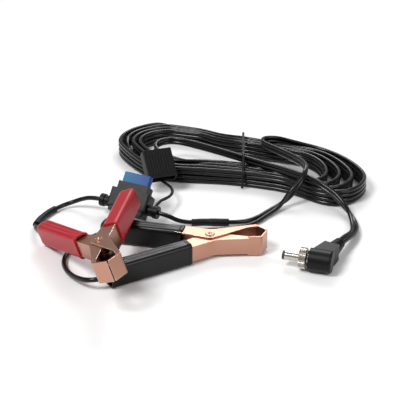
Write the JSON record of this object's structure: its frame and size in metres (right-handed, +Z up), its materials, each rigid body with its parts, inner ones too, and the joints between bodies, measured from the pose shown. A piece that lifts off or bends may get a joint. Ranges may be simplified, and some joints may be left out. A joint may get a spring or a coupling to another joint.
{
  "type": "battery clip power lead",
  "caption": "Spring battery clamps on twin leads with an inline blade fuse and tethered cap, a tied hank of flat twin cord, and a right-angle barrel plug with a locking nut.",
  "frame": {"origin": "Centre of the footprint of the clamps, fuse holder and cap, on the surface that they lie on.", "axes": "+Z up, +Y away from the jaws of the red clamp towards the hank, +X along the black clamp towards its jaws."},
  "size_m": [0.2313, 0.275, 0.0375],
  "materials": {
    "copper_plate": "copper-plated stamped steel, satin",
    "rivet_steel": "copper-plated steel",
    "spring_steel": "dark spring wire",
    "red_vinyl": "dipped soft vinyl, glossy red",
    "black_vinyl": "dipped soft vinyl, glossy black",
    "brass_terminal": "plain",
    "holder_plastic": "moulded, semi-gloss black",
    "cap_rubber": "soft moulded cap, satin black",
    "fuse_blue": "tinted clear plastic, blue",
    "fuse_metal": "zinc alloy, plain",
    "plug_black": "moulded, satin black",
    "plug_nickel": "nickel-plated brass",
    "plug_insulation": "plain black",
    "heat_shrink": "shrunk sleeve, satin black",
    "tie_vinyl": "coated twist wire, black",
    "boot_rubber": "soft, satin black",
    "lead_vinyl": "flexible vinyl jacket, glossy black"
  },
  "bodies": {
    "root": {"black_crimp": "brass_terminal", "black_front_grip": "black_vinyl", "black_inner_lever": "copper_plate", "black_lead": "lead_vinyl", "black_lead_tail": "lead_vinyl", "black_rivet": "rivet_steel", "black_spring": "spring_steel", "cap_strap": "boot_rubber", "cord_hank": "lead_vinyl", "fuse_cap": "cap_rubber", "fuse_holder_base": "holder_plastic", "fuse_holder_body": "holder_plastic", "fuse_lead": "lead_vinyl", "hank_tie": "tie_vinyl", "left_terminal": "brass_terminal", "left_wire_boot": "boot_rubber", "plug_barrel": "plug_nickel", "plug_body": "plug_black", "plug_contact": "plug_nickel", "plug_insulator": "plug_insulation", "plug_neck": "plug_nickel", "plug_strain_relief": "plug_black", "red_lead": "lead_vinyl", "red_lead_shrink": "heat_shrink", "red_outer_lever": "copper_plate", "red_right_grip": "red_vinyl", "red_rivet": "rivet_steel", "red_spring": "spring_steel", "right_terminal": "brass_terminal", "right_wire_boot": "boot_rubber", "splice_shrink": "heat_shrink", "twin_feed": "lead_vinyl", "twin_tail": "lead_vinyl"},
    "black_jaw": {"black_outer_lever": "copper_plate", "black_rear_grip": "black_vinyl"},
    "red_jaw": {"red_inner_lever": "copper_plate", "red_left_grip": "red_vinyl", "red_lead_tail": "lead_vinyl", "red_crimp": "brass_terminal"},
    "fuse": {"fuse_head": "fuse_blue", "fuse_element": "fuse_metal"},
    "nut": {"lock_nut": "plug_nickel"}
  },
  "joints": [
    {"name": "black_jaw_hinge", "type": "hinge", "parent": "root", "child": "black_jaw", "pos_m": [0.03615, -0.01637, 0.0073], "axis": [0, 0, 1], "range_deg": [0, 28], "stiffness_Nm_per_rad": 0.5, "springref_deg": -28.65, "deforming": ["black_spring"]},
    {"name": "red_jaw_hinge", "type": "hinge", "parent": "root", "child": "red_jaw", "pos_m": [-0.0258, -0.05548, 0.02483], "axis": [0.3084, -0.0664, -0.9489], "range_deg": [0, 12], "stiffness_Nm_per_rad": 0.5, "springref_deg": -28.65, "deforming": ["red_spring", "red_lead", "red_lead_shrink"]},
    {"name": "fuse_pull", "type": "slide", "parent": "root", "child": "fuse", "axis": [0.2849, 0.5787, 0.7642], "range_m": [0, 0.015]},
    {"name": "lock_nut_spin", "type": "hinge", "parent": "root", "child": "nut", "pos_m": [0.09185, -0.03476, 0.0071], "axis": [-0.9455, 0.3256, 0], "continuous": true}
  ]
}
